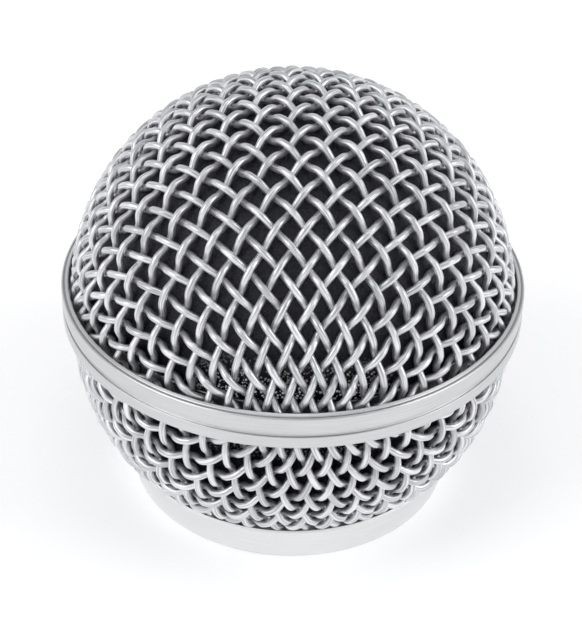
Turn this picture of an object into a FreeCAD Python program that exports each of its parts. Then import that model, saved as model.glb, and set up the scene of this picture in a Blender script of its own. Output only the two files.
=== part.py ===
import FreeCAD, Part

import math
import os

# Ball grille head of a vocal microphone: two pressed halves of woven wire cloth
# joined by a two-hoop band, standing on a threaded collar and lined with foam.
# Millimetres. +Z is the axis of symmetry, and the origin is the centre of the
# collar's lower face.

# Driving dimensions
ball_d = 49.2             # over the wires of the cloth
wire_d = 0.78
weave_clearance = 0.02    # between crossing wires, so the cloth is two wires and this thick
dome_centre_z = 23.6
basket_centre_z = 19.75   # the basket is a hemisphere below this and straight above it

band_d = 51.0
band_wall = 0.8
seam_z = 23.6             # middle of the groove round the band
groove_w = 0.55
groove_depth = 0.25
band_top_z = 25.6         # where the upper face turns into the lip
lip_rise = 0.4
band_bottom_z = 21.9
edge_round = 0.15
spigot_h = 0.75           # the lower hoop's spigot, inside the upper hoop

clamp_wall = 0.8
clamp_half_h = 1.9
fit_gap = 0.08            # between the cloth and the rings round it

thread_major_r = 16.0
thread_pitch = 1.0
thread_depth = 0.54
thread_turns = 5.0
thread_start_z = 0.9
collar_foot_r = 18.1
collar_rim_r = 19.25
collar_rim_z = 4.4
collar_top_z = 4.9
collar_bevel = 0.35
channel_r = 18.9          # outer wall of the channel that the basket's edge sits in
channel_floor_z = 4.3
sleeve_r = 16.9
sleeve_top_z = 7.2

foam_gap = 0.1
foam_t = 4.4
foam_bottom_z = 5.6
foam_throat_r = 15.9

# Derived dimensions
cloth_t = 2.0 * wire_d + weave_clearance
cloth_r = ball_d / 2.0
cloth_inner_r = cloth_r - cloth_t
band_r = band_d / 2.0
bore_r = band_r - band_wall
spigot_r = band_r - groove_depth
seam_top = seam_z + groove_w / 2.0
seam_bottom = seam_z - groove_w / 2.0
thread_minor_r = thread_major_r - thread_depth
foam_r = cloth_inner_r - foam_gap
clamp_r = cloth_inner_r - fit_gap
tall = 2.0 * ball_d       # longer than anything here, for cutting tools


def point(r, z):
    return FreeCAD.Vector(r, 0.0, z)


def turned(corners):
    """A ring turned about Z from a closed outline of (radius, height) corners."""
    outline = [point(r, z) for r, z in corners]
    wire = Part.makePolygon(outline + outline[:1])
    return Part.Face(wire).revolve(point(0, 0), FreeCAD.Vector(0, 0, 1), 360)


def ball(r, z):
    return Part.makeSphere(r, point(0, z))


def cylinder(r, z0, z1):
    return Part.makeCylinder(r, z1 - z0, point(0, z0))


def above(z):
    return cylinder(tall, z, z + tall)


def below(z):
    return cylinder(tall, z - tall, z)


def cup(r):
    """The solid inside the basket's shape at radius r, open-ended at the band."""
    return ball(r, basket_centre_z).fuse(cylinder(r, basket_centre_z, seam_z))


def dome_mesh():
    shell = ball(cloth_r, dome_centre_z).cut(ball(cloth_inner_r, dome_centre_z))
    return shell.cut(below(seam_top))


def basket_mesh():
    shell = cup(cloth_r).cut(cup(cloth_inner_r))
    shell = shell.cut(above(seam_bottom)).cut(below(channel_floor_z))
    shoulder = below(collar_top_z).cut(cylinder(channel_r - fit_gap, -tall, collar_top_z))
    return shell.cut(shoulder)


def band_upper_hoop():
    step_z = seam_bottom + spigot_h + fit_gap
    return turned([
        (band_r - edge_round, seam_top), (band_r, seam_top + edge_round),
        (band_r, band_top_z - edge_round), (band_r - edge_round, band_top_z),
        (bore_r + edge_round, band_top_z + lip_rise),
        (bore_r, band_top_z + lip_rise - edge_round),
        (bore_r, step_z), (spigot_r + fit_gap, step_z), (spigot_r + fit_gap, seam_top),
    ])


def band_lower_hoop():
    return turned([
        (band_r, seam_bottom - edge_round), (band_r - edge_round, seam_bottom),
        (spigot_r, seam_bottom), (spigot_r, seam_bottom + spigot_h),
        (bore_r, seam_bottom + spigot_h), (bore_r, band_bottom_z + edge_round),
        (bore_r + edge_round, band_bottom_z), (band_r - edge_round, band_bottom_z),
        (band_r, band_bottom_z + edge_round),
    ])


def clamp_ring():
    """T-section: a web between the two cloth halves and a flange behind them."""
    inner_r = clamp_r - clamp_wall
    return turned([
        (inner_r, seam_z - clamp_half_h), (clamp_r, seam_z - clamp_half_h),
        (clamp_r, seam_bottom), (cloth_r, seam_bottom), (cloth_r, seam_top),
        (clamp_r, seam_top), (clamp_r, seam_z + clamp_half_h),
        (inner_r, seam_z + clamp_half_h),
    ])


def thread_groove():
    """One continuous 60 degree groove, cut outwards from the collar's bore."""
    overshoot = 0.05
    half_w = (thread_depth + overshoot) * math.tan(math.radians(30)) + 0.06
    helix = Part.makeHelix(thread_pitch, thread_pitch * thread_turns, thread_minor_r)
    inner_r = thread_minor_r - overshoot
    section = Part.makePolygon([
        point(inner_r, -half_w), point(thread_major_r, -0.06),
        point(thread_major_r, 0.06), point(inner_r, half_w), point(inner_r, -half_w),
    ])
    groove = Part.Wire(helix).makePipeShell([section], True, True)
    groove.translate(point(0, thread_start_z))
    return groove


def threaded_collar():
    body = turned([
        (thread_major_r + 0.1, 0), (collar_foot_r - collar_bevel, 0),
        (collar_foot_r, collar_bevel), (collar_rim_r, collar_rim_z),
        (channel_r + 0.1, collar_top_z), (channel_r, collar_top_z - 0.1),
        (channel_r, channel_floor_z), (sleeve_r, channel_floor_z),
        (sleeve_r, sleeve_top_z), (thread_minor_r + 0.3, sleeve_top_z),
        (thread_minor_r, sleeve_top_z - 0.3), (thread_minor_r, thread_depth + 0.1),
    ])
    return body.cut(thread_groove())


def dome_foam():
    shell = ball(foam_r, dome_centre_z).cut(ball(foam_r - foam_t, dome_centre_z))
    return shell.cut(below(seam_z + clamp_half_h + foam_gap))


def basket_foam():
    """Fills the cup inside the cloth, bored for the capsule and the collar's sleeve."""
    top_z = seam_z + clamp_half_h + foam_gap
    ring_top = clamp_r - clamp_wall - foam_gap
    body = cup(foam_r).cut(above(seam_z - clamp_half_h - foam_gap))
    body = body.fuse(cylinder(ring_top, basket_centre_z, top_z))
    body = body.cut(below(foam_bottom_z))
    bore_top_r = math.sqrt((foam_r - foam_t) ** 2 - (top_z - dome_centre_z) ** 2)
    bore = Part.makeCone(foam_throat_r, bore_top_r, top_z - sleeve_top_z, point(0, sleeve_top_z))
    sleeve_room = cylinder(sleeve_r + foam_gap, 0, sleeve_top_z + foam_gap)
    return body.cut(bore).cut(sleeve_room).removeSplitter()


NODES = {
    "dome_mesh": dome_mesh,
    "basket_mesh": basket_mesh,
    "band_upper_hoop": band_upper_hoop,
    "band_lower_hoop": band_lower_hoop,
    "clamp_ring": clamp_ring,
    "threaded_collar": threaded_collar,
    "dome_foam": dome_foam,
    "basket_foam": basket_foam,
}

os.makedirs("parts", exist_ok=True)
for name, build in NODES.items():
    shape = build()
    shape.exportStep("parts/" + name + ".step")
    box = shape.BoundBox
    print(name, shape.ShapeType, shape.isValid(), len(shape.Solids), round(shape.Volume, 1),
          round(box.ZMin, 3), round(box.ZMax, 3), round(box.XLength, 3))
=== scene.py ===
import math

import bmesh
import bpy
import numpy as np
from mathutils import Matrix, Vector, noise


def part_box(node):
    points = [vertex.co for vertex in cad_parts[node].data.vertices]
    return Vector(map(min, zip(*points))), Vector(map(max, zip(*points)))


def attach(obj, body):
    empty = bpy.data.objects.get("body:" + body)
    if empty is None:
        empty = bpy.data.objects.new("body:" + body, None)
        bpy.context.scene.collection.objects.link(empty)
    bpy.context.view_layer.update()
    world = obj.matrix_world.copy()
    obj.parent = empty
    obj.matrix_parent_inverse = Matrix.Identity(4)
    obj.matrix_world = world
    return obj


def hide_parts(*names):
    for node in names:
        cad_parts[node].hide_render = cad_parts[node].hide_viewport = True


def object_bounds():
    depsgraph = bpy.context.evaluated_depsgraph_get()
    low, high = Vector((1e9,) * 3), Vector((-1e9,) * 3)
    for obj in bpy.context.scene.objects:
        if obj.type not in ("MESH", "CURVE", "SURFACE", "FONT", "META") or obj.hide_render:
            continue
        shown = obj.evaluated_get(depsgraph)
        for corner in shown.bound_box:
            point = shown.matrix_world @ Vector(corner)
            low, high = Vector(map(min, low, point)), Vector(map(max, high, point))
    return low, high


# Woven-wire grille head of a vocal microphone. Metres, in the CAD frame: +Z is the
# axis of symmetry and the origin is the centre of the collar's lower face.

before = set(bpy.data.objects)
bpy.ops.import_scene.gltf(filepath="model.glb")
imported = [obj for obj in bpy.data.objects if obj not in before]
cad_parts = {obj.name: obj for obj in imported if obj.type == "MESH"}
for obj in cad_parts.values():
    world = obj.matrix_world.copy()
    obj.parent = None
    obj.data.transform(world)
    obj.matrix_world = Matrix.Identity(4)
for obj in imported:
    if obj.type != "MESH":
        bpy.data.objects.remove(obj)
CAD_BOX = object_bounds()

MM = 0.001
BODY = "root"

# The cloth
WIRE_D = 0.78 * MM
PITCH = 2.5 * MM
CROSSING_GAP = 0.02 * MM
CROWN_FLATNESS = 0.45        # 0 is a plain sine weave, more is flatter over the crowns
STEPS = 10                   # points along a wire from one crossing to the next
NET_STEP = 0.25 * MM         # between the nodes of the fine net that the wires follow
REACH = 1.35                 # of the quarter turn from the pole, where the net ends
WIRE_SIDES = 14
TUCK_START = 2.4 * MM         # above the basket's edge, where it begins to draw in
TUCK_END = 0.4 * MM
TUCK_DEPTH = 0.6 * MM
END_CLEARANCE = 0.45 * MM     # from a half's edge to the middle of its wires' cut ends
WIRE_METALLIC = 0.80         # the plating is matt, so part of what it returns is diffuse

# The foam
CELL = 0.55 * MM
CELL_DEPTH = 0.14 * MM
STRUT_SHARE = 0.45            # of a cell's width, over which its wall slopes down
SKIN = 0.05 * MM              # points this close to the full size are on the outer skin
FOAM_GAP = 0.1 * MM           # to the collar's sleeve and the clamp ring
DOME_FOAM_EDGE = 0.3 * MM
BASKET_FOAM_TAPER = 1.4 * MM  # above its lower edge, where the basket's wires draw in
PAINTED_GLINT_STEP = 0.30 * MM         # between the painted glints, white specks painted on the foam as highlights

# The collar's thread
THREAD_PITCH = 1.0 * MM
THREAD_DEPTH = 0.54 * MM
THREAD_FLANK = 2.2            # how steeply the groove deepens across a pitch
THREAD_ROOT = 0.9             # of the full V, where its flat bottom is

# The rings, as the CAD has them, apart from the fine line in the lip
BAND_WALL = 0.8 * MM
LIP_RISE = 0.4 * MM
LIP_LINE_IN = 0.50 * MM       # a fine line turned in the lip, from its bore
LIP_LINE_W = 0.20 * MM
LIP_LINE_DEPTH = 0.30 * MM
GROOVE_DEPTH = 0.25 * MM
SPIGOT_H = 0.75 * MM
FIT_GAP = 0.08 * MM
EDGE_ROUND = 0.15 * MM
CLAMP_WALL = 0.8 * MM
THREAD_MAJOR_R = 16.0 * MM
THREAD_START = 0.9 * MM
THREAD_TURNS = 5.0
FOOT_R = 18.1 * MM
FOOT_ROUND = 0.3 * MM
RIM_Z = 4.4 * MM
COLLAR_TOP = 4.9 * MM
CHANNEL_R = 18.9 * MM
SLEEVE_R = 16.9 * MM
BASKET_CENTRE = 19.75 * MM
FOAM_T = 4.4 * MM
FOAM_THROAT_R = 15.9 * MM

# The view
LENS = 111.9
SENSOR = 36.0
CAMERA_DISTANCE = 216.0 * MM
CAMERA_RISE = math.radians(36.2)
CAMERA_ROLL = math.radians(1.31)

FLOOR_GLOW = 0.25
SKY_LOW = (0.93, 0.935, 0.945, 1)
SKY_TOP = (0.40, 0.405, 0.415, 1)

RING_SEGMENTS = 288


# ---------------------------------------------------------------- measures from the frame

def node_size(name):
    """(lowest z, highest z, outer radius) of a round CAD node."""
    low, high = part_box(name)
    return low.z, high.z, (high.x - low.x) / 2


dome_low, dome_top, cloth_r = node_size("dome_mesh")
basket_low, basket_top, _ = node_size("basket_mesh")
upper_low, upper_top, band_r = node_size("band_upper_hoop")
lower_low, spigot_top, _ = node_size("band_lower_hoop")
clamp_low, clamp_top, _ = node_size("clamp_ring")
_, sleeve_top, rim_r = node_size("threaded_collar")
foam_low, _, _ = node_size("dome_foam")
basket_foam_low, basket_foam_top, foam_r = node_size("basket_foam")

lift = (WIRE_D + CROSSING_GAP) / 2
middle_r = cloth_r - WIRE_D / 2 - lift
dome_centre = dome_top - cloth_r


# ---------------------------------------------------------------- the cloth's net

def meridian(arc):
    """Radius and height on a unit round-nosed cylinder, an arc length from its pole."""
    quarter = math.pi / 2
    on_nose = arc < quarter
    radius = np.where(on_nose, np.sin(arc), 1.0)
    height = np.where(on_nose, np.cos(arc), quarter - arc)
    return radius, height


def fourth_corner(a, b, c, step):
    """The points of the surface a step from both b and c, away from a (Newton's method)."""
    d = b + c - a
    for _ in range(6):
        on_nose = d[:, 2] >= 0
        gradient = 2 * d
        gradient[:, 2] *= on_nose
        level = (d[:, :2] ** 2).sum(1) + on_nose * d[:, 2] ** 2
        error = np.stack([
            level - 1,
            ((d - b) ** 2).sum(1) - step ** 2,
            ((d - c) ** 2).sum(1) - step ** 2,
        ], axis=1)
        slope = np.stack([gradient, 2 * (d - b), 2 * (d - c)], axis=1)
        solvable = np.abs(np.linalg.det(np.nan_to_num(slope))) > 1e-12
        move = np.full_like(d, np.nan)
        move[solvable] = np.linalg.solve(slope[solvable], error[solvable][..., None])[..., 0]
        d = d - move
    off = np.abs(((d - b) ** 2).sum(1) - step ** 2) > 1e-9
    d[off] = np.nan
    return d


def pressed_net(step, count):
    """An inextensible square net pressed over a unit round-nosed cylinder.

    Its two middle wires lie on meridians through the pole, and every other node is a
    step from its neighbours, as the wires of a cloth are when it is drawn into a cup.
    """
    net = np.full((count, count, 3), np.nan)
    radius, height = meridian(2 * math.asin(step / 2) * np.arange(count))
    net[:, 0] = np.stack([radius, 0 * radius, height], axis=1)
    net[0, :] = np.stack([0 * radius, radius, height], axis=1)
    for diagonal in range(2, 2 * count - 1):
        i = np.arange(max(1, diagonal - count + 1), min(diagonal, count))
        j = diagonal - i
        net[i, j] = fourth_corner(net[i - 1, j - 1], net[i, j - 1], net[i - 1, j], step)
    half = np.concatenate([net[:0:-1] * (-1, 1, 1), net])
    return np.concatenate([half[:, :0:-1] * (1, -1, 1), half], axis=1)


def weave_height(phase):
    """A wire's height over the cloth's middle, from 1 on a crown to -1 under a crossing."""
    wave = np.cos(math.pi * phase)
    return (1 + CROWN_FLATNESS) * wave - CROWN_FLATNESS * wave ** 3


def smooth(t):
    t = np.clip(t, 0, 1)
    return t * t * (3 - 2 * t)


def blended(grid, u, v):
    """The grid's values between its nodes; nan outside it."""
    i, j = np.floor(u).astype(int), np.floor(v).astype(int)
    last = len(grid) - 2
    outside = (i < 0) | (j < 0) | (i > last) | (j > last)
    i, j = np.clip(i, 0, last), np.clip(j, 0, last)
    a, b = (u - i)[:, None], (v - j)[:, None]
    value = ((grid[i, j] * (1 - a) + grid[i + 1, j] * a) * (1 - b)
             + (grid[i, j + 1] * (1 - a) + grid[i + 1, j + 1] * a) * b)
    value[outside] = np.nan
    return value


class Cloth:
    """One pressed half: its net in the object's frame, and where it is cut and tucked in.

    pitch is between the wires of each family, offset is the first crossing's place from
    the pole in pitches, and lean is how far each family slants towards the other.
    """

    def __init__(self, pole, centre, turn, offset, cut, tucks=(), pitch=(PITCH, PITCH), lean=0.0):
        self.middle = int(REACH * math.pi / 2 * middle_r / NET_STEP) - 1
        self.net = pressed_net(NET_STEP / middle_r, self.middle + 1)
        self.spin = np.array([[math.cos(turn), math.sin(turn), 0],
                              [-math.sin(turn), math.cos(turn), 0],
                              [0, 0, pole]])
        self.centre = centre
        self.offset = offset
        self.cut = cut
        self.tucks = tucks
        self.pitch = pitch
        self.lean = lean

    def surface(self, u, v):
        """Points and normals of the cloth's middle, u and v pitches from the first crossing."""
        u, v = (u + self.offset[0]) * self.pitch[0], (v + self.offset[1]) * self.pitch[1]
        u, v = u + self.lean * v, v + self.lean * u
        unit = blended(self.net, u / NET_STEP + self.middle, v / NET_STEP + self.middle)
        normal = unit * (1, 1, 0)
        normal[:, 2] = np.maximum(unit[:, 2], 0)
        point = unit @ self.spin * middle_r + (0, 0, self.centre)
        normal = normal @ self.spin
        for start, end, depth in self.tucks:
            share = smooth((start - point[:, 2]) / (start - end))
            radial = normal * (1, 1, 0)
            size = np.linalg.norm(radial, axis=1, keepdims=True)
            point = point - radial / np.maximum(size, 1e-9) * (share * depth)[:, None]
        return point, normal

    def wires(self, family):
        """Each wire of one family, as (points, normals, weave heights)."""
        reach = int(self.middle * NET_STEP / min(self.pitch))
        along = np.arange(-reach * STEPS, reach * STEPS + 1) / STEPS
        for number in range(-reach, reach + 1):
            across = np.full_like(along, number)
            point, normal = self.surface(*((along, across) if family == 0 else (across, along)))
            side = (1 if family == 0 else -1) * (-1) ** number
            height = side * weave_height(along)
            point = point + normal * (height * lift)[:, None]
            inside = (point[:, 2] > self.cut[0]) & (point[:, 2] < self.cut[1])
            for run in runs(inside, 2 * STEPS // 3):
                yield point[run], normal[run], height[run]


def runs(flags, shortest):
    """The unbroken stretches of True in an array of flags, as slices."""
    edges = np.flatnonzero(np.diff(np.concatenate([[0], flags.astype(int), [0]])))
    return [slice(a, b) for a, b in zip(edges[::2], edges[1::2]) if b - a >= shortest]


# ---------------------------------------------------------------- meshes

def mesh_object(name, vertices, faces, attributes=None):
    mesh = bpy.data.meshes.new(name)
    mesh.from_pydata(vertices.tolist(), [], faces)
    mesh.validate()
    mesh.shade_smooth()
    for key, values in (attributes or {}).items():
        kind = "FLOAT" if values.ndim == 1 else "FLOAT_VECTOR"
        field = "value" if values.ndim == 1 else "vector"
        made = mesh.attributes.new(key, kind, "POINT")
        made.data.foreach_set(field, values.astype(np.float32).ravel())
    piece = bpy.data.objects.new(name, mesh)
    bpy.context.scene.collection.objects.link(piece)
    return piece


def tube(points, normals, radius, sides):
    """Vertices, faces and section coordinates of a closed round bar along a path."""
    count = len(points)
    tangent = np.gradient(points, axis=0)
    tangent /= np.linalg.norm(tangent, axis=1, keepdims=True)
    side = np.cross(tangent, normals)
    side /= np.linalg.norm(side, axis=1, keepdims=True)
    up = np.cross(side, tangent)
    angle = np.arange(sides) * 2 * math.pi / sides
    ring = radius * np.stack([np.cos(angle), np.sin(angle)], axis=1)
    body = (points[:, None] + ring[None, :, :1] * side[:, None]
            + ring[None, :, 1:] * up[:, None]).reshape(-1, 3)
    faces = []
    for k in range(count - 1):
        base = k * sides
        for s in range(sides):
            t = (s + 1) % sides
            faces.append((base + s, base + t, base + t + sides, base + s + sides))
    faces.append(tuple(range(sides - 1, -1, -1)))
    faces.append(tuple((count - 1) * sides + s for s in range(sides)))
    length = np.concatenate([[0], np.cumsum(np.linalg.norm(np.diff(points, axis=0), axis=1))])
    grain = np.concatenate([np.tile(ring, (count, 1)), np.repeat(length, sides)[:, None]], axis=1)
    return body, faces, grain


def wire_piece(name, cloth, family):
    rng = np.random.default_rng(7 + family)
    vertices, faces, grains, heights = [], [], [], []
    start = 0
    for points, normals, height in cloth.wires(family):
        body, quads, grain = tube(points, normals, WIRE_D / 2, WIRE_SIDES)
        grain[:, 2] += rng.uniform(0, 1)
        vertices.append(body)
        faces += [tuple(v + start for v in face) for face in quads]
        grains.append(grain)
        heights.append(np.repeat(height, WIRE_SIDES))
        start += len(body)
    return mesh_object(name, np.concatenate(vertices), faces, {
        "grain": np.concatenate(grains), "weave": np.concatenate(heights)})


def rounded(corners, radius, steps=5):
    """A closed outline with each corner turned into an arc, with points close beside it."""
    outline = []
    count = len(corners)
    for k, corner in enumerate(corners):
        here = np.array(corner)
        before = np.array(corners[k - 1]) - here
        after = np.array(corners[(k + 1) % count]) - here
        size_b, size_a = np.linalg.norm(before), np.linalg.norm(after)
        before, after = before / size_b, after / size_a
        half = math.acos(np.clip(before @ after, -1, 1)) / 2
        reach = min(radius / math.tan(half), 0.42 * size_b, 0.42 * size_a)
        true_radius = reach * math.tan(half)
        centre = here + (before + after) / np.linalg.norm(before + after) * true_radius / math.sin(half)
        first, last = here + before * reach, here + after * reach
        outline.append(first + before * reach * 0.15)
        for s in range(steps + 1):
            chord = first + (last - first) * s / steps - centre
            outline.append(centre + chord / np.linalg.norm(chord) * true_radius)
        outline.append(last + after * reach * 0.15)
    return np.array(outline)


def turned(name, outline, closed=True, segments=RING_SEGMENTS, wobble=None):
    """A solid turned about Z from its outline; a point on the axis becomes one vertex.

    wobble(radius, angle, height) gives the final radius.
    """
    angle = np.arange(segments) * 2 * math.pi / segments
    vertices, rows, count = [], [], 0
    for radius, height in outline:
        spokes = angle if radius > 0 else angle[:1]
        reach = np.full(len(spokes), radius)
        if wobble is not None:
            reach = wobble(reach, spokes, height)
        level = np.full(len(spokes), height)
        vertices.append(np.stack([reach * np.cos(spokes), reach * np.sin(spokes), level], axis=1))
        rows.append(np.arange(count, count + len(spokes)) if radius > 0 else np.full(segments, count))
        count += len(spokes)
    faces = []
    for low, high in zip(rows, rows[1:] + rows[:1] if closed else rows[1:]):
        for s in range(segments):
            t = (s + 1) % segments
            corners = dict.fromkeys((int(low[s]), int(low[t]), int(high[t]), int(high[s])))
            faces.append(tuple(corners))
    return mesh_object(name, np.concatenate(vertices), faces)


def outward(piece):
    """Turns the faces of a closed mesh to look outwards."""
    work = bmesh.new()
    work.from_mesh(piece.data)
    bmesh.ops.recalc_face_normals(work, faces=work.faces)
    work.to_mesh(piece.data)
    work.free()
    return piece


# ---------------------------------------------------------------- materials

def new_material(name):
    made = bpy.data.materials.new(name)
    made.use_nodes = True
    return made, made.node_tree, made.node_tree.nodes["Principled BSDF"]


def add(tree, kind, inputs=None, **settings):
    """A node with its settings and inputs; an input that is a socket is linked."""
    made = tree.nodes.new(kind)
    for key, value in settings.items():
        setattr(made, key, value)
    for key, value in (inputs or {}).items():
        if isinstance(value, bpy.types.NodeSocket):
            tree.links.new(value, made.inputs[key])
        else:
            made.inputs[key].default_value = value
    return made


def stretched(tree, source, scale):
    """Coordinates scaled differently along each axis, for a grain."""
    return add(tree, "ShaderNodeMapping", {"Vector": source, "Scale": scale}).outputs["Vector"]


def ramp(tree, factor, low, high, start=0.0, end=1.0):
    made = add(tree, "ShaderNodeMapRange", {
        "Value": factor, "From Min": start, "From Max": end, "To Min": low, "To Max": high})
    return made.outputs["Result"]


def blend_colour(tree, factor, first, second, mode="MIX"):
    made = add(tree, "ShaderNodeMix", data_type="RGBA", blend_type=mode)
    for socket, value in zip((made.inputs[0], made.inputs[6], made.inputs[7]),
                             (factor, first, second)):
        if isinstance(value, bpy.types.NodeSocket):
            tree.links.new(value, socket)
        else:
            socket.default_value = value
    return made.outputs[2]


def set_inputs(tree, shader, values):
    for key, value in values.items():
        if isinstance(value, bpy.types.NodeSocket):
            tree.links.new(value, shader.inputs[key])
        else:
            shader.inputs[key].default_value = value


def wire_steel():
    """Drawn nickel-grey wire: fine lines along it, and painted shade that darkens it where it dips
    under a crossing.
    """
    made, tree, shader = new_material("drawn_wire")
    grain = add(tree, "ShaderNodeAttribute", attribute_name="grain").outputs["Vector"]
    weave = add(tree, "ShaderNodeAttribute", attribute_name="weave").outputs["Fac"]
    lines = add(tree, "ShaderNodeTexNoise", {
        "Vector": stretched(tree, grain, (5600, 5600, 150)), "Scale": 1.0, "Detail": 3.0})
    patches = add(tree, "ShaderNodeTexNoise", {
        "Vector": stretched(tree, grain, (700, 700, 420)), "Scale": 1.0, "Detail": 2.0})
    colour = blend_colour(tree, ramp(tree, lines.outputs["Fac"], 0, 1, 0.36, 0.62),
                          (0.45, 0.453, 0.47, 1), (0.86, 0.863, 0.88, 1))
    # Painted shade: the wire's colour is darkened where it dips under a crossing wire.
    painted_dip_shade = ramp(tree, weave, 0.25, 0.0, -1.0, -0.4)
    colour = blend_colour(tree, painted_dip_shade, colour, (0.48, 0.48, 0.50, 1))
    rough = ramp(tree, patches.outputs["Fac"], 0.30, 0.42, 0.3, 0.7)
    bump = add(tree, "ShaderNodeBump", {
        "Height": lines.outputs["Fac"], "Strength": 0.45, "Distance": 0.012 * MM})
    set_inputs(tree, shader, {"Base Color": colour, "Metallic": WIRE_METALLIC, "Roughness": rough,
                              "Normal": bump.outputs["Normal"]})
    return made


def turned_metal(name, dark, light, rough_low, rough_high, bump_strength=0.2):
    """Satin plated metal, finished on a lathe: faint lines run round it."""
    made, tree, shader = new_material(name)
    place = add(tree, "ShaderNodeTexCoord").outputs["Object"]
    lines = add(tree, "ShaderNodeTexNoise", {
        "Vector": stretched(tree, place, (160, 160, 9000)), "Scale": 1.0, "Detail": 4.0})
    blush = add(tree, "ShaderNodeTexNoise", {"Vector": place, "Scale": 160.0, "Detail": 3.0})
    pits = add(tree, "ShaderNodeTexNoise", {"Vector": place, "Scale": 5200.0, "Detail": 2.0})
    colour = blend_colour(tree, ramp(tree, lines.outputs["Fac"], 0, 1, 0.3, 0.7), dark, light)
    rough = ramp(tree, blush.outputs["Fac"], rough_low, rough_high, 0.3, 0.7)
    height = add(tree, "ShaderNodeMath", {0: lines.outputs["Fac"], 1: pits.outputs["Fac"]},
                 operation="ADD")
    bump = add(tree, "ShaderNodeBump", {
        "Height": height.outputs[0], "Strength": bump_strength, "Distance": 0.01 * MM})
    set_inputs(tree, shader, {"Base Color": colour, "Metallic": 1.0, "Roughness": rough,
                              "Normal": bump.outputs["Normal"]})
    return made


def open_cell_foam():
    """Black open-cell foam, darkened towards and under the band (painted shade), with white specks
    painted as glints at the front, close to the band (painted highlights).
    """
    made, tree, shader = new_material("open_cell_foam")
    place = add(tree, "ShaderNodeTexCoord").outputs["Object"]
    cells = add(tree, "ShaderNodeTexVoronoi", {"Vector": place, "Scale": 1 / CELL},
                feature="DISTANCE_TO_EDGE")
    grit = add(tree, "ShaderNodeTexNoise", {"Vector": place, "Scale": 6000.0, "Detail": 3.0})
    strut = ramp(tree, cells.outputs["Distance"], 1.0, 0.0, 0.02, 0.16)
    colour = blend_colour(tree, strut, (0.016, 0.016, 0.022, 1), (0.028, 0.028, 0.037, 1))

    axes = add(tree, "ShaderNodeSeparateXYZ", {"Vector": place}).outputs
    # Painted shade: the foam is darkened towards the band and all below it, where the band shades it.
    in_shade = ramp(tree, axes["Z"], 0.75, 0.0, upper_top + 0.5 * MM, upper_top + 6.0 * MM)
    colour = blend_colour(tree, in_shade, colour, (0.003, 0.003, 0.004, 1))
    # Painted highlight: white specks are painted into the foam's colour as glints, only at the front
    # and close to the band.
    painted_glint_band = add(tree, "ShaderNodeMath", {
        0: ramp(tree, axes["Z"], 1.0, 0.0, upper_top + 1.0 * MM, upper_top + 4.5 * MM),
        1: ramp(tree, axes["Z"], 0.0, 1.0, lower_low - 4.0 * MM, lower_low)},
        operation="MULTIPLY").outputs[0]
    front = ramp(tree, axes["Y"], 1.0, 0.0, -0.94 * foam_r, -0.87 * foam_r)
    painted_speck = add(tree, "ShaderNodeTexVoronoi", {"Vector": place, "Scale": 1 / PAINTED_GLINT_STEP})
    painted_glint_size = add(tree, "ShaderNodeMath", {
        0: painted_speck.outputs["Color"], 1: 0.5, 2: painted_speck.outputs["Distance"]}, operation="MULTIPLY_ADD")
    painted_glint = add(tree, "ShaderNodeMath", {
        0: ramp(tree, painted_glint_size.outputs[0], 1.0, 0.0, 0.52, 0.66),
        1: add(tree, "ShaderNodeMath", {0: painted_glint_band, 1: front}, operation="MULTIPLY").outputs[0]},
        operation="MULTIPLY").outputs[0]
    colour = blend_colour(tree, painted_glint, colour, (1.0, 1.0, 1.0, 1))

    gloss = ramp(tree, in_shade, 0.35, 0.06, 0.0, 0.75)
    rough = ramp(tree, grit.outputs["Fac"], 0.35, 0.8, 0.35, 0.65)
    height = add(tree, "ShaderNodeMath", {0: strut, 1: grit.outputs["Fac"]}, operation="ADD")
    bump = add(tree, "ShaderNodeBump", {
        "Height": height.outputs[0], "Strength": 0.6, "Distance": 0.05 * MM})
    set_inputs(tree, shader, {"Base Color": colour, "Roughness": rough,
                              "Specular IOR Level": gloss, "Normal": bump.outputs["Normal"]})
    return made


def pale_floor():
    made, tree, shader = new_material("pale_floor")
    place = add(tree, "ShaderNodeTexCoord").outputs["Object"]
    tone = add(tree, "ShaderNodeTexNoise", {"Vector": place, "Scale": 3.0, "Detail": 2.0})
    colour = blend_colour(tree, tone.outputs["Fac"], (0.93, 0.93, 0.93, 1), (0.95, 0.95, 0.95, 1))
    set_inputs(tree, shader, {"Base Color": colour, "Roughness": 0.8,
                              "Emission Color": (1, 1, 1, 1), "Emission Strength": FLOOR_GLOW})
    return made


# ---------------------------------------------------------------- pieces

def finish_piece(piece, material, slot, *nodes):
    piece.data.materials.append(material)
    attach(piece, BODY)
    if nodes:
        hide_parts(*nodes)
    return piece


def cloth_pieces(steel):
    dome = Cloth(
        pole=1, centre=dome_centre, turn=math.radians(48.95), offset=(0.525, 0.39),
        cut=(dome_low + END_CLEARANCE, 1.0))
    basket = Cloth(
        pole=-1, centre=BASKET_CENTRE, turn=math.radians(322.05), offset=(0.45, 0.8),
        cut=(basket_low + END_CLEARANCE, basket_top - END_CLEARANCE),
        tucks=[(basket_low + TUCK_START, basket_low + TUCK_END, TUCK_DEPTH)],
        pitch=(2.505 * MM, 2.62 * MM), lean=0.11)
    for cloth, half in ((dome, "dome"), (basket, "basket")):
        for family, direction in enumerate(("warp", "weft")):
            piece = wire_piece(half + "_" + direction + "_wires", cloth, family)
            finish_piece(piece, steel, "wire_cloth", half + "_mesh")


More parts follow.
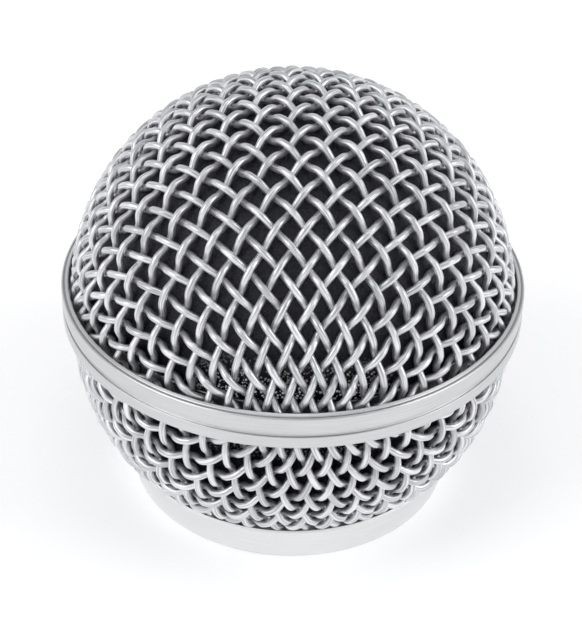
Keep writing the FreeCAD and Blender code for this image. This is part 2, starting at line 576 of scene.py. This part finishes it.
def band_pieces(metal, dull):
    bore_r = band_r - BAND_WALL
    spigot_r = band_r - GROOVE_DEPTH
    step = spigot_top + FIT_GAP
    seam_bottom = spigot_top - SPIGOT_H
    line_r, line_w = bore_r + LIP_LINE_IN, LIP_LINE_W / 2
    line_z = upper_top - LIP_RISE * LIP_LINE_IN / BAND_WALL
    upper = [(band_r, upper_low), (band_r, upper_top - LIP_RISE),
             (line_r + line_w, line_z), (line_r, line_z - LIP_LINE_DEPTH), (line_r - line_w, line_z),
             (bore_r, upper_top),
             (bore_r, step), (spigot_r + FIT_GAP, step), (spigot_r + FIT_GAP, upper_low)]
    lower = [(band_r, seam_bottom), (spigot_r, seam_bottom), (spigot_r, spigot_top),
             (bore_r, spigot_top), (bore_r, lower_low), (band_r, lower_low)]
    for name, outline in (("band_upper_hoop", upper), ("band_lower_hoop", lower)):
        piece = outward(turned("bright_" + name, rounded(outline, EDGE_ROUND)))
        finish_piece(piece, metal, "band", name)
    flange_r = cloth_r - 2 * (WIRE_D + CROSSING_GAP / 2) - FIT_GAP
    outline = [(flange_r - CLAMP_WALL, clamp_low), (flange_r, clamp_low),
               (flange_r, seam_bottom), (cloth_r, seam_bottom), (cloth_r, upper_low),
               (flange_r, upper_low), (flange_r, clamp_top), (flange_r - CLAMP_WALL, clamp_top)]
    ring = outward(turned("plain_clamp_ring", rounded(outline, 0.1 * MM)))
    finish_piece(ring, dull, "clamp", "clamp_ring")


def collar_piece(metal):
    minor_r = THREAD_MAJOR_R - THREAD_DEPTH
    start, end = THREAD_START, THREAD_START + THREAD_TURNS * THREAD_PITCH
    outer = rounded([
        (THREAD_MAJOR_R, 0), (FOOT_R, 0), (rim_r, RIM_Z), (CHANNEL_R + 0.1 * MM, COLLAR_TOP),
        (CHANNEL_R, basket_low), (SLEEVE_R, basket_low), (SLEEVE_R, sleeve_top),
        (minor_r, sleeve_top), (minor_r, THREAD_DEPTH)], FOOT_ROUND)
    bore_rows = int((sleeve_top - THREAD_DEPTH) / THREAD_PITCH * 14)
    at_bore = np.isclose(outer[:, 0], minor_r)
    heights = np.linspace(outer[at_bore, 1].max(), outer[at_bore, 1].min(), bore_rows)
    bore = np.stack([np.full(bore_rows, minor_r), heights], axis=1)
    first = np.flatnonzero(at_bore)[0]
    last = np.flatnonzero(at_bore)[-1]
    outline = np.concatenate([outer[:first], bore, outer[last + 1:]])

    def threaded(radius, angle, height):
        turn = (height - start) / THREAD_PITCH - angle / (2 * math.pi)
        groove = np.clip(1 - np.abs((turn % 1) - 0.5) * THREAD_FLANK, 0, THREAD_ROOT) / THREAD_ROOT
        fade = smooth((height - start) / THREAD_PITCH * 2) * smooth((end - height) / THREAD_PITCH * 2)
        on_bore = np.isclose(radius, minor_r)
        return radius + on_bore * THREAD_DEPTH * groove * fade

    piece = outward(turned("bright_threaded_collar", outline, wobble=threaded))
    finish_piece(piece, metal, "collar", "threaded_collar")


def arc(radius, centre_z, z_from, z_to, count):
    """Points on a sphere's outline from one height to another, evenly spaced."""
    first = math.acos(np.clip((z_from - centre_z) / radius, -1, 1))
    last = math.acos(np.clip((z_to - centre_z) / radius, -1, 1))
    angle = np.linspace(first, last, count)
    return np.stack([radius * np.sin(angle), centre_z + radius * np.cos(angle)], axis=1)


def straight(start, end, count):
    return np.linspace(start, end, count)


def roughen(piece, seen_from):
    """Sinks open cells into a foam piece's outer skin; the struts keep the full size."""
    mesh = piece.data
    points = np.zeros(len(mesh.vertices) * 3)
    mesh.vertices.foreach_get("co", points)
    points = points.reshape(-1, 3)
    normals = np.zeros_like(points).ravel()
    mesh.vertices.foreach_get("normal", normals)
    normals = normals.reshape(-1, 3)
    for k in np.flatnonzero(seen_from(points)):
        near = noise.voronoi(Vector(points[k]) / CELL)[0]
        sink = CELL_DEPTH * smooth((near[1] - near[0]) / STRUT_SHARE)
        points[k] -= normals[k] * sink
    mesh.vertices.foreach_set("co", points.ravel())
    mesh.update()


def foam_pieces(foam):
    dome_inner = foam_r - FOAM_T
    outline = np.concatenate([
        arc(foam_r, dome_centre, dome_centre + foam_r, foam_low, 110),
        straight((foam_r - DOME_FOAM_EDGE, foam_low), (dome_inner + DOME_FOAM_EDGE, foam_low), 8),
        arc(dome_inner, dome_centre, foam_low, dome_centre + dome_inner, 40)])
    outline[[0, -1], 0] = 0
    piece = outward(turned("dome_foam_lining", outline, closed=False, segments=400))
    roughen(piece, lambda p: np.linalg.norm(p - (0, 0, dome_centre), axis=1) > foam_r - SKIN)
    finish_piece(piece, foam, "foam", "dome_foam")

    ledge = clamp_low - FOAM_GAP
    neck_r = foam_r + FOAM_GAP - FIT_GAP - CLAMP_WALL - FOAM_GAP
    sleeve_room = sleeve_top + FOAM_GAP
    room_r = SLEEVE_R + FOAM_GAP
    bore_top_r = math.sqrt(dome_inner ** 2 - (basket_foam_top - dome_centre) ** 2)
    foot_r = math.sqrt(foam_r ** 2 - (basket_foam_low - BASKET_CENTRE) ** 2)
    outline = np.concatenate([
        straight((neck_r, basket_foam_top), (neck_r, ledge + 0.2 * MM), 8),
        straight((neck_r + 0.1 * MM, ledge), (foam_r - 0.2 * MM, ledge), 4),
        straight((foam_r, ledge - 0.2 * MM), (foam_r, BASKET_CENTRE + 0.2 * MM), 12),
        arc(foam_r, BASKET_CENTRE, BASKET_CENTRE, basket_foam_low + BASKET_FOAM_TAPER, 70),
        straight((foot_r - 0.8 * MM, basket_foam_low), (room_r, basket_foam_low), 3),
        straight((room_r, basket_foam_low + 0.2 * MM), (room_r, sleeve_room), 4),
        straight((FOAM_THROAT_R, sleeve_room), (bore_top_r, basket_foam_top), 24)])
    piece = outward(turned("basket_foam_lining", outline, segments=400))
    middle = np.array((0, 0, BASKET_CENTRE))

    def outer_skin(p):
        radial = np.linalg.norm((p - middle) * (1, 1, 0), axis=1)
        reach = np.where(p[:, 2] > BASKET_CENTRE, radial, np.linalg.norm(p - middle, axis=1))
        return reach > foam_r - SKIN

    roughen(piece, outer_skin)
    finish_piece(piece, foam, "foam", "basket_foam")


# ---------------------------------------------------------------- stage

def look_at(thing, target, roll=0.0):
    direction = Vector(target) - thing.location
    thing.rotation_euler = direction.to_track_quat("-Z", "Y").to_euler()
    thing.rotation_euler.rotate_axis("Z", roll)


def softbox(name, place, size, power, target=(0, 0, 0.025)):
    light = bpy.data.lights.new(name, "AREA")
    light.shape = "RECTANGLE"
    light.size, light.size_y = size
    light.energy = power
    lamp = bpy.data.objects.new(name, light)
    lamp.location = place
    bpy.context.scene.collection.objects.link(lamp)
    look_at(lamp, target)
    return lamp


def studio_sky():
    """Soft light from all round, brighter towards the horizon than overhead."""
    world = bpy.data.worlds.new("studio")
    bpy.context.scene.world = world
    world.use_nodes = True
    tree = world.node_tree
    place = add(tree, "ShaderNodeTexCoord").outputs["Generated"]
    height = add(tree, "ShaderNodeSeparateXYZ", {"Vector": place}).outputs["Z"]
    glow = blend_colour(tree, ramp(tree, height, 0, 1), SKY_LOW, SKY_TOP)
    tree.links.new(glow, tree.nodes["Background"].inputs["Color"])
    tree.nodes["Background"].inputs["Strength"].default_value = 1.0


def studio():
    bpy.ops.mesh.primitive_grid_add(x_subdivisions=8, y_subdivisions=8, size=4.0)
    floor = bpy.context.object
    floor.name = "studio_floor"
    floor.data.materials.append(pale_floor())
    floor.location.z = -0.02 * MM
    softbox("key_left", (-0.42, -0.22, 0.42), (0.36, 0.36), 1.0)
    softbox("key_right", (0.46, -0.12, 0.36), (0.30, 0.40), 0.8)
    softbox("overhead", (0, -0.04, 0.62), (0.26, 0.26), 0.3)
    studio_sky()
    bpy.context.scene.view_settings.view_transform = "Standard"


def camera():
    data = bpy.data.cameras.new("camera")
    data.lens = LENS
    data.sensor_width = SENSOR
    view = bpy.data.objects.new("camera", data)
    bpy.context.scene.collection.objects.link(view)
    middle_z = (CAD_BOX[0][2] + CAD_BOX[1][2]) / 2
    target = Vector((-0.14 * MM, 0, middle_z - 3.5 * MM))
    towards = Vector((0, -math.cos(CAMERA_RISE), math.sin(CAMERA_RISE)))
    view.location = target + CAMERA_DISTANCE * towards
    look_at(view, target, CAMERA_ROLL)
    bpy.context.scene.camera = view


cloth_pieces(wire_steel())
band_pieces(turned_metal("satin_band", (0.57, 0.575, 0.58, 1), (0.65, 0.655, 0.66, 1), 0.30, 0.42),
            turned_metal("plain_ring", (0.30, 0.30, 0.31, 1), (0.40, 0.40, 0.41, 1), 0.35, 0.5))
# The collar's base colour is paler than the band's; part of that is painted light, for the floor that
# lights the collar from close below.
collar_piece(turned_metal("satin_collar", (0.75, 0.76, 0.76, 1), (0.83, 0.84, 0.84, 1), 0.36, 0.48))
foam_pieces(open_cell_foam())
studio()
camera()
